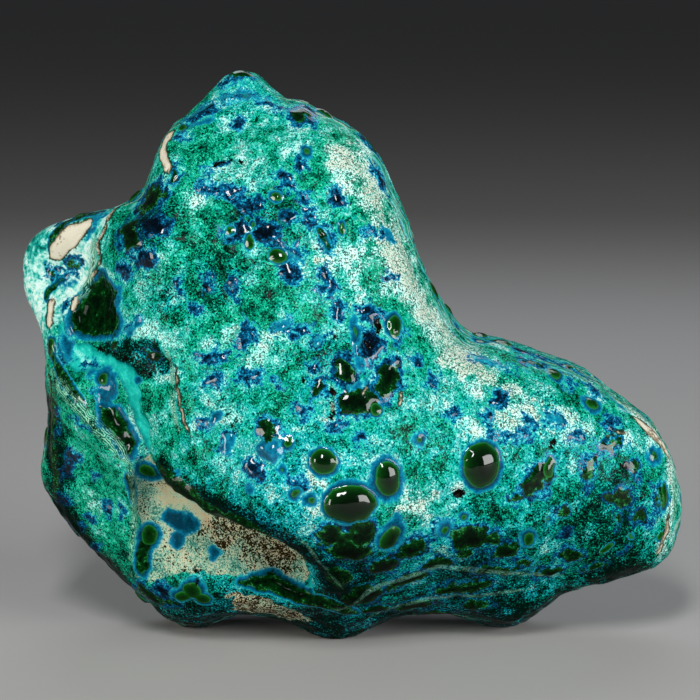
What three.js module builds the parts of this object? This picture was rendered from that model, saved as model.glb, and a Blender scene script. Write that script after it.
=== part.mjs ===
// Polished chrysocolla and malachite freeform: one solid stone that stands on three small worn flats.
// Millimetres, +Z up. The broad speckled face looks along -Y, the long lobe points along +X.
// The origin is the bottom centre of the bounding box, on the surface that the stone stands on.
import * as THREE from "three";
import { mergeVertices } from "three/addons/utils/BufferGeometryUtils.js";

// Driving dimensions.
const FACET_DETAIL = 19; // splits of each icosahedron edge, less one: 8,000 facets
const CROWDING = 0.26; // how far the facets gather towards the folded side, 0 for evenly spread
const FOLDED_SIDE = new THREE.Vector3(-0.52, -0.8, -0.3).normalize();
const CORE = { x: -4, z: 52 }; // middle of the stone in the front view, which its outline is seen from
const SQUARENESS = 2.35; // how boxy a section is across the depth: 2 is an ellipse
const EVEN_SPAN = 0.36; // radians that the outline is evened over, away from the rim
const FRONT_DEPTH = 28; // how far the front stands out from the outline's plane, before the masses
const BACK_DEPTH = 30;
const RIM_ZONE = [0.72, 0.985]; // share of the radius over which the evened outline gives way to the true one
const FACING_ZONE = [0.05, 0.5]; // how squarely a place faces front or back when lips and strokes take hold
const LIP_TAPER = 0.16; // share of a lip's length over which each end fades out
const ANGLE_STEPS = 720; // the outline is read at every half degree
const LIP_PIECES = 28; // straight pieces in a lip's line
const STROKE_PIECES = 16;

// The outline in the front view, x and z, clockwise from the peak.
const OUTLINE = [
  [-24.2, 127.6], [-21.2, 127.4], [-19.2, 125.4], [-17.6, 121.6], [-15, 120.8], [-11, 120.6], [-4.5, 117.2],
  [2.2, 113.5], [5, 110.5], [8, 105], [9.2, 101.5], [13, 93.5], [15.4, 86], [18.2, 79.5], [21.5, 74.5],
  [27, 68.2], [33.8, 66.8], [43, 64], [52, 60.8], [61, 54.4], [69, 48], [73, 40.5], [75, 31], [74.6, 23],
  [72, 17.4], [68, 15.4], [59.5, 13], [51, 10.6], [44.5, 6.4], [37, 2.6], [30, 3.4], [20.5, 5], [11.5, 4.4],
  [2.5, 3], [-2.5, 2.8], [-11.5, 3.4], [-19.5, 4.6], [-24.5, 4.8], [-33, 2.4], [-38, 2.4], [-43.5, 4.8],
  [-50, 10.4], [-59, 18.8], [-66, 26], [-69.6, 33.6], [-70.4, 38.2], [-68.6, 46], [-69, 57.5], [-69, 64],
  [-70.8, 69.5], [-74, 75.5], [-75.2, 82.8], [-73, 88.6], [-69.6, 91.4], [-60.5, 94.6], [-54, 96.4],
  [-50, 97.8], [-46.4, 100.6], [-44.4, 105.5], [-43.2, 109.6], [-39.4, 115], [-34.4, 119.2], [-30.8, 122.4],
  [-28.8, 125], [-26.8, 127.2],
];

// Broad masses: changes of front and back depth, and of how far back the stone's middle lies.
const MASSES = [
  { at: [-6, 40], reach: 34, front: 13, back: 12, shift: 0 }, // belly
  { at: [-18, 88], reach: 27, front: 2, back: -2, shift: 4 }, // tower
  { at: [-24, 126], reach: 15, front: -13, back: -12, shift: 5 }, // peak
  { at: [54, 34], reach: 26, front: 2, back: -4, shift: -2 }, // long lobe
  { at: [-70, 82], reach: 16, front: -8, back: -8, shift: 13 }, // side lobe, set back
  { at: [-60, 32], reach: 20, front: -6, back: 0, shift: 3 }, // lower left flank
];

// Lips: along each line the surface steps back by `step` on the line's left and recovers over `reach`.
// The step also fades out between the two heights of `fade`.
const LIPS = [
  { side: "front", line: [[-62.5, 73.5], [-58.5, 80], [-55, 86.4], [-55.2, 90], [-53.6, 93.6], [-50, 98.2],
    [-47.6, 101]], step: 5, reach: 9, width: 2, fade: [40, 60] }, // fold in front of the side lobe
  { side: "front", line: [[-8, 11], [-9, 17], [-9.8, 21.6], [-12.4, 26], [-17, 29.6], [-21.5, 31.6],
    [-29, 33.4], [-35, 35.6], [-39, 38.8], [-42, 43.6]],
    step: 9, reach: 14, width: 2.4, fade: [6, 21] }, // brow over the pocket
  { side: "back", line: [[-22, 104], [-14, 92], [2, 84]], step: 5, reach: 16, width: 3.5, fade: [40, 60] },
];

// Hollows (depth over 0) and swellings (depth under 0), as strokes along lines on one side of the stone.
const STROKES = [
  { side: "front", line: [[-58, 67.6], [-52.7, 58], [-47.2, 49.3], [-44, 42.6]],
    width: 5.5, depth: 3.5 }, // trough
  { side: "front", line: [[-69.6, 63.8], [-67.5, 60.8], [-61.2, 54.7], [-55.2, 48.8], [-50.1, 42.4],
    [-48.2, 36], [-48.7, 26], [-49.4, 15.5]], width: 4, depth: -3 }, // ridge beside the trough
  { side: "front", line: [[-33, 24.5], [-20, 21]], width: 8, depth: 1.5 }, // pocket floor
  { side: "front", line: [[-33, 44], [-24, 40], [-12, 36], [0, 31]], width: 10, depth: -3 }, // brow
  { side: "front", line: [[-55, 79], [-57, 74.5]], width: 5.5, depth: 3.6 }, // pool
  { side: "front", line: [[-45.5, 97.5], [-43, 91]], width: 6, depth: -3.6 }, // knuckle
  { side: "front", line: [[-55, 67], [-43, 64.5]], width: 4, depth: 2.2 }, // crystal pit
  { side: "front", line: [[-2, 64], [6, 59]], width: 10, depth: -1.6 }, // malachite knob
  { side: "front", line: [[26, 68], [21, 60]], width: 9, depth: 2.5 }, // saddle by the notch
  { side: "front", line: [[14, 15], [30, 14], [46, 18]], width: 9, depth: 3.5 }, // groove under the lobe
  { side: "front", line: [[-5, 112], [6, 92]], width: 9, depth: -2 }, // right shoulder of the tower
  { side: "back", line: [[-34, 72], [-14, 60], [10, 54]], width: 12, depth: 8 },
  { side: "back", line: [[24, 62], [34, 42]], width: 9, depth: 6 },
  { side: "back", line: [[-52, 42], [-38, 26]], width: 10, depth: 7 },
  { side: "back", line: [[-62, 66], [-54, 60]], width: 7, depth: 5 },
  { side: "back", line: [[48, 28], [60, 36]], width: 11, depth: -4 },
  { side: "back", line: [[-8, 32], [10, 26]], width: 13, depth: -4 },
  { side: "back", line: [[-30, 108], [-26, 96]], width: 8, depth: -3.5 },
];

// Feet: middle of each worn flat, how wide the foot is and how far it reaches down.
const FEET = [
  { at: [-3, -5], reach: 9, drop: 5.4 },
  { at: [-35, 9], reach: 9, drop: 6.4 },
  { at: [34, 9], reach: 10, drop: 6.8 },
];
const FOOT_TOP = 24; // no foot pulls on anything above this height

const { clamp, smoothstep } = THREE.MathUtils;
const bell = (distance, width) => Math.exp(-((distance / width) ** 2));

// A smooth line through x, z points, as short straight pieces.
function smoothLine(points, closed, count) {
  const curve = new THREE.CatmullRomCurve3(points.map(([x, z]) => new THREE.Vector3(x, 0, z)), closed);
  return curve.getSpacedPoints(count);
}

// Nearest place on a line: distance, which side of it (+1 for its left), and share of the way along.
function nearestOn(line, x, z) {
  let best = { distance: Infinity, side: 1, along: 0 };
  for (let i = 0; i < line.length - 1; i++) {
    const a = line[i];
    const dx = line[i + 1].x - a.x;
    const dz = line[i + 1].z - a.z;
    const share = clamp(((x - a.x) * dx + (z - a.z) * dz) / (dx * dx + dz * dz), 0, 1);
    const distance = Math.hypot(x - a.x - share * dx, z - a.z - share * dz);
    if (distance < best.distance) {
      const side = dx * (z - a.z) - dz * (x - a.x) >= 0 ? 1 : -1;
      best = { distance, side, along: (i + share) / (line.length - 1) };
    }
  }
  return best;
}

// The outline's radius at even angles round the core.
function outlineRadii(count) {
  const polar = smoothLine(OUTLINE, true, count * 4).map((p) => ({
    angle: Math.atan2(p.z - CORE.z, p.x - CORE.x),
    radius: Math.hypot(p.z - CORE.z, p.x - CORE.x),
  }));
  polar.sort((a, b) => a.angle - b.angle);
  const radii = [];
  let next = 0;
  for (let i = 0; i < count; i++) {
    const angle = -Math.PI + (2 * Math.PI * i) / count;
    while (next < polar.length - 1 && polar[next].angle < angle) next++;
    radii.push(polar[next].radius);
  }
  return radii;
}

function evened(radii, span) {
  const half = Math.round((span / (2 * Math.PI)) * radii.length);
  return radii.map((_, i) => {
    let sum = 0;
    for (let k = -half; k <= half; k++) sum += radii[(i + k + radii.length) % radii.length];
    return sum / (2 * half + 1);
  });
}

function radiusAt(radii, angle) {
  const place = ((angle + Math.PI) / (2 * Math.PI)) * radii.length;
  const low = Math.floor(place) % radii.length;
  const share = place - Math.floor(place);
  return radii[low] * (1 - share) + radii[(low + 1) % radii.length] * share;
}

const RIM_RADII = outlineRadii(ANGLE_STEPS);
const EVEN_RADII = evened(RIM_RADII, EVEN_SPAN);
for (const lip of LIPS) lip.smooth = smoothLine(lip.line, false, LIP_PIECES);
for (const stroke of STROKES) stroke.smooth = smoothLine(stroke.line, false, STROKE_PIECES);

// Where a direction from the core meets the stone before lips, strokes and feet.
function bodyPoint(direction) {
  const angle = Math.atan2(direction.z, direction.x);
  const spread = Math.min(1, Math.hypot(direction.x, direction.z));
  const nearRim = smoothstep(spread, ...RIM_ZONE);
  const radius = radiusAt(EVEN_RADII, angle) * (1 - nearRim) + radiusAt(RIM_RADII, angle) * nearRim;
  const x = CORE.x + Math.cos(angle) * radius * spread;
  const z = CORE.z + Math.sin(angle) * radius * spread;
  let front = FRONT_DEPTH;
  let back = BACK_DEPTH;
  let shift = 0;
  for (const mass of MASSES) {
    const share = bell(Math.hypot(x - mass.at[0], z - mass.at[1]), mass.reach);
    front += mass.front * share;
    back += mass.back * share;
    shift += mass.shift * share;
  }
  const dome = (1 - spread ** SQUARENESS) ** (1 / SQUARENESS);
  return new THREE.Vector3(x, shift + (direction.y < 0 ? -front : back) * dome, z);
}

function sculpt(point, direction) {
  const facing = {
    front: smoothstep(-direction.y, ...FACING_ZONE),
    back: smoothstep(direction.y, ...FACING_ZONE),
  };
  const inward = { front: 1, back: -1 };
  const { x, z } = point;
  for (const { side, smooth, step, reach, width, fade } of LIPS) {
    const near = nearestOn(smooth, x, z);
    const across = near.distance * near.side;
    const taper = smoothstep(near.along, 0, LIP_TAPER) * (1 - smoothstep(near.along, 1 - LIP_TAPER, 1));
    const drop = smoothstep(across, -width, width) * bell(Math.max(0, across), reach);
    point.y += inward[side] * step * drop * taper * facing[side] * smoothstep(z, fade[0], fade[1]);
  }
  for (const { side, smooth, width, depth } of STROKES) {
    point.y += inward[side] * depth * bell(nearestOn(smooth, x, z).distance, width) * facing[side];
  }
  const low = 1 - smoothstep(z, 0, FOOT_TOP);
  for (const { at, reach, drop } of FEET) {
    point.z -= drop * bell(Math.hypot(point.x - at[0], point.y - at[1]), reach) * low;
  }
  point.z = Math.max(point.z, 0);
  return point;
}

function stoneGeometry() {
  const ball = new THREE.IcosahedronGeometry(1, FACET_DETAIL);
  ball.deleteAttribute("normal");
  ball.deleteAttribute("uv");
  const geometry = mergeVertices(ball, 1e-4);
  const places = geometry.attributes.position;
  const direction = new THREE.Vector3();
  for (let i = 0; i < places.count; i++) {
    direction.fromBufferAttribute(places, i).normalize();
    direction.addScaledVector(FOLDED_SIDE, CROWDING).normalize();
    const point = sculpt(bodyPoint(direction), direction);
    places.setXYZ(i, point.x, point.y, point.z);
  }
  geometry.computeBoundingBox();
  const { min, max } = geometry.boundingBox;
  geometry.translate(-(min.x + max.x) / 2, -(min.y + max.y) / 2, -min.z);
  geometry.computeVertexNormals();
  return geometry;
}

const stone = new THREE.Mesh(
  stoneGeometry(),
  new THREE.MeshStandardMaterial({ color: 0x1fa593, roughness: 0.12, metalness: 0 }),
);
stone.name = "stone";

const specimen = new THREE.Group();
specimen.name = "chrysocolla_specimen";
specimen.add(stone);

export default specimen;
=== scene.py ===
# Polished freeform of chrysocolla with malachite eyes and azurite blue: one stone on three worn flats.
# Settings and lists hold millimetres and degrees. Blender works in metres, in the CAD part's frame.
import math

import bmesh
import bpy
import numpy as np
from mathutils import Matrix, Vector, noise


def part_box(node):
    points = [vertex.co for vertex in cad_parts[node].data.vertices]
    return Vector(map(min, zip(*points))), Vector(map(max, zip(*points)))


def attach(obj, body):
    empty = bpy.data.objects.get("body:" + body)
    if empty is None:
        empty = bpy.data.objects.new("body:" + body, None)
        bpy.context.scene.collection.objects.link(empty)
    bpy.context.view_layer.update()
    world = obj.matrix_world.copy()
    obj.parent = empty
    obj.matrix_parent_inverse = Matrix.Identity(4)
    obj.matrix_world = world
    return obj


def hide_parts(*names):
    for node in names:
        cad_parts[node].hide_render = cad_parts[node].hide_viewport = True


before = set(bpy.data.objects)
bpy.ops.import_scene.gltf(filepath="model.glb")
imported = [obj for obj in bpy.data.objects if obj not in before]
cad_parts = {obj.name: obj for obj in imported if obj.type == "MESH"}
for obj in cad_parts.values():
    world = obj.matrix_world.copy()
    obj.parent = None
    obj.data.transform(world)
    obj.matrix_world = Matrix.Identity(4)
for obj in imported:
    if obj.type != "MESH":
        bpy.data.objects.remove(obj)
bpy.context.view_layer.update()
low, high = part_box("stone")
height = high.z - low.z
millimetre = 0.001


def fromHex(code):
    # sRGB hex to the linear values that Blender's sockets take
    parts = [int(code[i:i + 2], 16) / 255 for i in (1, 3, 5)]
    return tuple(v / 12.92 if v <= 0.04045 else ((v + 0.055) / 1.055) ** 2.4 for v in parts) + (1.0,)


def addNode(tree, kind, inputs=None, stops=None, **settings):
    # a node with its settings, its ramp colours, and its sockets set or linked
    node = tree.nodes.new(kind)
    for name, value in settings.items():
        setattr(node, name, value)
    for count, (place, colour) in enumerate(stops or []):
        ramp = node.color_ramp
        element = ramp.elements[count] if count < 2 else ramp.elements.new(place)
        element.position = place
        element.color = fromHex(colour)
    for key, value in (inputs or {}).items():
        if isinstance(value, bpy.types.NodeSocket):
            tree.links.new(value, node.inputs[key])
        else:
            node.inputs[key].default_value = value
    return node


# The camera is level with the stone and a little above it, and aims at a share of its height.
cameraSetup = {"elevation": 8.4, "distance": 560, "lens": 85, "sensor": 24, "aim": 0.506}


def placeCamera(setup):
    target = Vector((0, 0, low.z + height * setup["aim"]))
    tilt = math.radians(setup["elevation"])
    away = Vector((0, -math.cos(tilt), math.sin(tilt))) * setup["distance"] * millimetre
    data = bpy.data.cameras.new("camera")
    data.lens = setup["lens"]
    data.sensor_width = setup["sensor"]
    camera = bpy.data.objects.new("camera", data)
    camera.location = target + away
    camera.rotation_euler = (-away).to_track_quat("-Z", "Y").to_euler()
    bpy.context.scene.collection.objects.link(camera)
    bpy.context.scene.camera = camera


placeCamera(cameraSetup)
print("camera placed")

# The markings are placed by x and z on the broad face, as seen along +Y.
# Malachite eyes, smooth domes in a blue ring: x, z, half width, half height, tilt, bulge, ring width.
malachiteEyes = [
    # belly
    (0, 38, 5.5, 4, 0, 1.9, 0.9), (8, 43, 2.6, 3.8, 8, 1.1, 1.5), (-5.5, 47, 2.9, 2.5, -15, 1.2, 0.8),
    (28, 44.5, 3.9, 4.9, 0, 1.9, 1.0), (8.5, 29.5, 2.1, 3, -22, 0.7, 1.5), (-8, 39, 0.7, 0.7, 0, 0.2, 1.1),
    (-11.5, 40.5, 1.1, 0.7, 30, 0.2, 0.8), (20.5, 30.5, 0.8, 0.8, 0, 0.2, 1.5),
    (24.5, 33, 0.6, 0.6, 0, 0.1, 0.8), (-13, 51, 0.7, 1.2, 0, 0.1, 0.8), (-14.5, 45, 0.5, 0.5, 0, 0.1, 0.9),
    (14.5, 50.5, 0.6, 0.6, 0, 0.1, 1),
    # cluster under the right side of the tower
    (9.5, 73.5, 1.5, 2.4, -6, 0.8, 0.8), (1, 73, 0.35, 1.7, 0, 0.2, 1), (5.5, 57.5, 1.1, 1.1, 0, 0.3, 0.5),
    # tower
    (-15.5, 88.5, 1.9, 1.4, -20, 0.5, 0.5), (-26, 94, 1, 0.9, 0, 0.3, 0.5),
    (-21.5, 91.5, 0.8, 1.8, 0, 0.3, 0.5), (-21, 95.2, 0.5, 0.7, 0, 0.1, 0.4),
    (-16, 101, 1.3, 0.8, -30, 0.3, 0.7), (-9.5, 110.5, 0.5, 1.1, 20, 0.2, 0.8),
    (-1.5, 94.5, 0.6, 1.4, 0, 0.2, 0.5), (-37, 115, 0.9, 0.8, 0, 0.1, 0.3),
    # long lobe
    (43, 43, 1.1, 2.2, -12, 0.4, 0.6), (67.5, 43, 0.8, 0.9, 0, 0.3, 1.5), (69.5, 34, 0.9, 2.9, -6, 0.4, 0.6),
    (39, 27, 1.1, 1.8, 12, 0.4, 1.4), (43, 31.5, 0.6, 0.5, 0, 0.1, 0.6),
    (56.5, 23.5, 1.9, 0.7, 35, 0.3, 0.4), (69, 25, 0.6, 1, -20, 0.1, 0.5), (45, 61.5, 1.5, 1.5, 0, 0.4, 0.7),
    (53, 55, 1.8, 1.1, -25, 0.4, 1), (62, 26, 0.9, 0.7, 0, 0.2, 0.4),
    # folded side
    (-54, 60.5, 1.1, 1.4, 0, 0.4, 1.4), (-44.5, 40, 0.9, 2.4, 38, 0.4, 1.2), (-67, 66, 1, 2.2, -8, 0.3, 0.5),
    (-34.7, 13.8, 2.1, 1.9, 0, 0.5, 1.4), (-37.2, 12.2, 1.9, 1.2, 10, 0.3, 1.2),
    (-32.6, 12, 1.6, 1.3, -15, 0.3, 1.2), (-44.5, 25.5, 1.7, 2.2, 0, 0.9, 1.1),
]
# Malachite patches, irregular and only a little proud: x, z, half width, half height, tilt, blue fringe.
malachitePatches = [
    # belly
    (-3.8, 30.8, 3.2, 2.6, 0, 0.5), (2.4, 31, 2.7, 2.7, 0, 0.9), (0, 27, 5.2, 2.8, 0, 0.3),
    (2.5, 14, 4.6, 3.2, 20, 0.4), (12, 17.5, 5, 1.8, 25, 0.4), (25, 14.5, 6.5, 1.8, 8, 0.5),
    (15, 10, 5.4, 1.6, 15, 0.4), (-2, 20.5, 3.4, 2.4, -40, 0.3), (-17.5, 52.8, 1.3, 2.2, 20, 0.3),
    (34, 24, 3.2, 2, 0, 0.5), (32, 19, 4.6, 1.6, -10, 0.4), (19, 22, 2.8, 1.4, 20, 0.4),
    (6, 9, 3.6, 1.7, -10, 0.3), (20, 6.5, 4, 1.3, 5, 0.3), (28, 9.5, 3.4, 1.4, 0, 0.3),
    (44, 17.5, 3.4, 1.4, 10, 0.4), (26, 28, 3.9, 2.9, 18, 0.5), (24.5, 28.8, 2.4, 2.2, 0, 0.5),
    (13.5, 26.5, 3.6, 2, 25, 0.5), (7, 22.5, 3.2, 2.6, -20, 0.5), (38, 21, 2.4, 1.2, -15, 0.4),
    # cluster under the right side of the tower
    (-1.2, 65.6, 1.8, 2.6, 20, 0.8), (1.5, 59.2, 4.3, 2.6, 8, 0.4), (8.2, 63.2, 2.4, 3.8, -35, 0.5),
    (-7, 62, 1, 1.8, 0, 0.3),
    # tower
    (-10.5, 118, 2.4, 1.8, 20, 0.6), (4.5, 111, 0.9, 2.6, 25, 0.4), (-24, 126.6, 3.4, 1.2, 0, 0.3),
    (-38.6, 104.5, 0.5, 2.6, -8, 0.2),
    # long lobe
    (40.5, 40.5, 4.8, 2.1, 48, 0.4), (57.5, 46.8, 3.6, 1.1, 8, 0.3), (52, 42.5, 1.3, 2.8, -12, 0.4),
    (59.3, 35, 2.8, 2, 0, 0.6), (49, 22, 2.6, 1.8, -20, 0.5), (54, 18.5, 2.8, 0.9, 25, 0.3),
    (58.5, 30, 1, 1.8, 0, 0.3), (40.5, 63.6, 2.6, 0.8, -10, 0.3), (50, 61.8, 3.4, 0.8, -22, 0.3),
    (64, 30, 1.4, 1.6, 20, 0.5), (36, 36.5, 1.6, 0.9, 0, 0.2), (46, 33, 1.6, 1.1, 30, 0.3),
    (31, 27.5, 2.4, 1.6, 0, 0.4), (25.5, 24, 2.4, 1.2, 0, 0.2), (62.5, 41.5, 1.2, 1.4, 0, 0.4),
    (68.5, 33.5, 1.2, 2.6, 0, 0.5),
    # folded side
    (-48, 92.5, 2.4, 4, 16, 0.7), (-43.5, 99.6, 4.2, 2.6, 28, 0.6), (-45, 11, 3.4, 1.6, -22, 0.8),
    (-40.5, 10, 2.4, 1, -8, 0.6), (-43, 67, 2.4, 0.9, -18, 0.2), (-51.5, 68.6, 2.8, 0.9, 20, 0.1),
    (-62, 84, 1.7, 1, 10, 0.4), (-67, 81.5, 0.8, 1.1, 0, 0.3), (-64, 22.5, 1.2, 3.6, 42, 0.3),
    (-56, 14.5, 1.4, 3.4, 62, 0.3),
]
# Long malachite: points along the middle, half width, swelling, ring width.
malachiteBands = [
    ([(-53.9, 54.5), (-52.4, 52.5), (-50.6, 50), (-49, 47.5), (-48, 45)], 1.8, 0.2, 1.3),
    ([(-45, 25), (-46, 21), (-46.5, 16)], 1.2, 0.3, 0.9),
    ([(-48.5, 40), (-48, 37), (-47.5, 33.5)], 0.6, 0.1, 0.8),
    ([(-24, 16.6), (-17, 16), (-12, 14), (-7, 12.5), (-2.5, 11), (1.5, 8.5)], 1.7, 0.5, 1.0),
    ([(-7, 94.5), (-6, 93.5), (-4.5, 90)], 0.4, 0.1, 0.5),
    ([(-68.3, 63), (-66.8, 59), (-66.2, 54.5), (-66.6, 48.5), (-66.2, 43), (-65.8, 36.5),
      (-66.6, 31)], 0.7, 0.2, 0),
    ([(-67, 64.5), (-64, 61), (-61, 58), (-58.5, 55.5)], 0.9, 0.2, 0.5),
    # the brow band is malachite, and its dark green along the underside of the overhang is partly painted
    # shade
    ([(-40.5, 43), (-38, 41), (-35.5, 39), (-32.5, 37), (-29, 35), (-25, 34), (-19.5, 32),
      (-13.5, 28.5)], 1.9, 0.8, 0),
    ([(-67.5, 86), (-67, 89), (-65.5, 91.5), (-63, 93.5), (-60, 95), (-57.5, 95.5),
      (-55, 96.5)], 0.8, 0.1, 0.5),
    ([(-68.5, 75.5), (-68.5, 77), (-67.5, 78.5), (-66, 80), (-64, 80.5)], 0.5, 0.1, 0.4),
]
# Azurite blots, ragged: x, z, half width, half height, tilt.
azureBlots = [
    # tower
    (-25, 116, 1.2, 1.2, 0), (-25.5, 102, 2.4, 1.6, 0), (-31, 102, 1.2, 1.3, 0), (-14.5, 105, 1.8, 1.3, 0),
    (-10, 101.5, 1.4, 1.1, 0), (-9, 98.5, 1.6, 0.9, -20), (-3, 101.5, 1.6, 2.2, 0), (-5.5, 85, 1.2, 1.5, 0),
    (-5, 82, 2, 1.3, 0), (3.5, 93.5, 1.1, 1.1, 0), (7, 93, 1.1, 0.9, 0), (8.5, 84, 1.2, 0.7, 0),
    (6.5, 104.5, 1.2, 3, 15), (-12.5, 85, 2.4, 1.6, -25), (-33, 118.5, 4, 1.4, 28),
    (-30.5, 83, 1.2, 2.4, 10), (-36.5, 83, 0.9, 2, 8), (-25, 82, 1, 3, 8), (-18, 93.5, 3.4, 2, 0),
    (-24, 93.5, 3.6, 2, 0), (-14, 97, 2.2, 1.2, -30), (-10.5, 108, 1.2, 2.6, 0), (-37.5, 113, 2.2, 0.8, -10),
    (-20, 99.5, 2, 1.4, 0), (-25, 121.6, 3.4, 0.9, 12), (-28, 124.6, 1.2, 1, 0), (-18, 120, 2.8, 0.8, -25),
    (-11.5, 89.5, 2.4, 1, -30), (-31.5, 103, 1.8, 0.8, -25), (-28, 101.5, 2.6, 0.8, -20),
    (-22.5, 99, 3, 1.1, -50), (-19, 95, 2.8, 1, -45), (-15, 91, 2.4, 1, -60), (-13.5, 87, 1.2, 2.6, 5),
    (-8, 95, 3, 0.9, -35), (-5, 91.5, 1, 2.4, 5), (-13, 103, 2.2, 0.8, -10), (-31.5, 84, 1.4, 0.9, 0),
    (-36.5, 81.5, 1, 1.8, 10), (-29.5, 107, 2.4, 0.7, 20),
    # middle
    (-14.5, 74.5, 2.6, 1.2, 30), (-21, 72.5, 1, 2.6, 30), (-10.5, 73, 2.2, 0.9, 20), (10.5, 72, 1, 1.6, 20),
    (-23, 72, 1.2, 3.2, -10), (-28.5, 62.5, 2.2, 0.9, 15), (-21, 63.5, 2.2, 1.4, 0),
    (-15.5, 62, 1.1, 1.1, 0), (-29.5, 67.5, 3, 1.2, 10), (-26, 50, 1.3, 2.4, -25), (-2.5, 77, 1.5, 2, 0),
    (-6.5, 71.5, 2.3, 1.4, 35), (4, 76.8, 3.6, 1.2, -20), (4, 70, 3, 3.6, 0), (-8, 66, 1.2, 1.2, 0),
    (31, 64.5, 4.2, 0.7, -18), (32.5, 58, 1.6, 2.2, 0), (30, 54.5, 1, 1.6, 0), (22, 55, 1.3, 1.1, 20),
    (14, 66, 0.9, 1, 0), (17.5, 62, 2.4, 0.8, 20), (15, 51, 1.4, 1.2, 0), (2, 51.5, 1.6, 1, 0),
    (-3, 54, 1.6, 1.1, 0), (-33, 77.5, 1.5, 0.9, 0), (-10, 57, 2, 0.9, -15), (-31, 54, 1.6, 1.2, 0),
    (-16.5, 50, 3.2, 3, 0), (-11, 42, 2.8, 1.6, -20), (-20, 45, 3, 1.6, -25), (9, 66.5, 2.2, 1.2, 30),
    # long lobe
    (44, 53, 2.2, 1.1, 10), (39, 53, 1.3, 0.9, 0), (48, 59.5, 1.1, 1, 0), (57.5, 51, 2, 1.3, 30),
    (42.5, 37, 1.1, 0.9, 0), (51.5, 37, 1.1, 0.9, 0), (63, 38.5, 1, 1.5, 0), (36.5, 50, 3, 0.9, 15),
    (49, 49, 1.8, 0.9, 0), (31, 50.5, 1.3, 1.3, 0), (20, 31, 2.6, 2, 0), (43, 64.3, 3.4, 0.8, -12),
    (54, 57.5, 1.6, 1, -40), (66, 29, 1.4, 2, 20), (60.5, 22.5, 2.4, 1.1, 25), (47, 27.5, 1.8, 1.2, 0),
    # folded side
    (-42, 94.5, 3.8, 3, -15), (-44, 87.5, 2.6, 2.6, 0), (-49.5, 84.5, 1.6, 1.8, 0), (-54.3, 58.6, 2, 3, 0),
    (-64, 66, 1.6, 3, 22), (-57.5, 63.5, 1.8, 0.8, 20), (-66, 47.5, 1.4, 2.4, 0), (-62, 42.5, 2.2, 2, 0),
    (-65, 37.5, 1.8, 2.2, 0), (-47.5, 45, 1, 2.4, 35), (-65, 31.5, 2.2, 2.2, 0), (-57.5, 20.5, 2.2, 1.6, 0),
    (-60.5, 25, 1.2, 1.2, 0), (-59.5, 50.5, 1.9, 0.5, -30), (-50.5, 31.5, 1.6, 0.6, -45),
    (-40.5, 12.5, 5, 2, -12), (-36.8, 40, 1.2, 2.6, 0), (-50.7, 77.5, 0.9, 3, -6), (-47, 73.5, 3.4, 0.7, 35),
    (-63, 75.5, 2.4, 0.8, 50), (-57.2, 93.8, 3.2, 0.7, 50), (-65.2, 52.5, 1, 1.8, 0),
    (-62.2, 71.2, 1.2, 2.4, 20), (-64, 81.3, 2.8, 0.6, 12), (-63, 39.5, 1.6, 1.8, 0), (-56.5, 38, 1, 1, 0),
    (-54, 31, 1.2, 2, 20), (-58, 28, 1.6, 1, 0),
]
# Smooth azurite fields with soft cyan edges: x, z, half width, half height, tilt, tone, bulge.
# A tone of 0 is navy, and 0.6 is pale.
azureFields = [
    (-53.5, 59, 2.5, 4.2, -5, 0.35, 0), (-57, 61.5, 1.4, 0.8, 15, 0.35, 0),
    (-63.5, 67, 1.5, 4.2, 25, 0.25, 0), (-47, 72.5, 4.2, 0.9, 42, 0.5, 0),
    (-57.5, 92.5, 5.2, 0.8, 44, 0.4, 0), (-63, 79.5, 2.6, 0.9, 18, 0.45, 0),
    (-37.8, 28.6, 4.8, 2.5, -15, 0.05, 0), (-38.6, 24.6, 1.9, 2.2, 0, 0, 0),
    (-30, 22.5, 1.9, 1.8, 0, 0.15, 0), (-46, 61.5, 1.4, 1.2, 0, 0.2, 0), (-50, 79, 0.8, 2.4, 10, 0.4, 0),
    (-36.5, 42, 1, 2, 10, 0.4, 0), (-25.5, 50, 1.1, 2.2, -25, 0.3, 0), (-21, 41, 1, 1.8, 20, 0.5, 0),
    (10, 34, 1.2, 1.6, 0, 0.6, 0), (1.5, 62.5, 2.4, 0.9, 20, 0.45, 0), (2, 66.5, 1.4, 1.8, 0, 0.5, 0),
    (-6.5, 71.5, 1.8, 1, 35, 0.4, 0), (-14.5, 74.5, 2.2, 0.8, 30, 0.3, 0), (44, 53, 1.8, 0.8, 10, 0.4, 0),
    (-17, 49, 3, 2.8, 0, 0.55, 1.3), (-24.5, 124.4, 3, 0.25, 14, 0.5, 0),
    (-23.5, 122.6, 4, 0.25, 12, 0.7, 0), (-26.5, 120.6, 3.4, 0.25, 4, 0.5, 0),
    (-19, 121, 2.4, 0.25, -12, 0.6, 0), (-33.5, 118.5, 3.6, 0.7, 30, 0.35, 0),
    (-32, 116.5, 3, 0.6, 26, 0.5, 0), (-28.5, 55, 1.6, 1.2, 20, 0.4, 0.5), (9, 92.5, 0.9, 1.8, 20, 0.3, 0),
    (-11, 88, 2.6, 0.6, -40, 0.4, 0), (60, 54, 3.2, 0.7, -40, 0.4, 0), (31, 64.5, 4, 0.6, -18, 0.4, 0),
]
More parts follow.
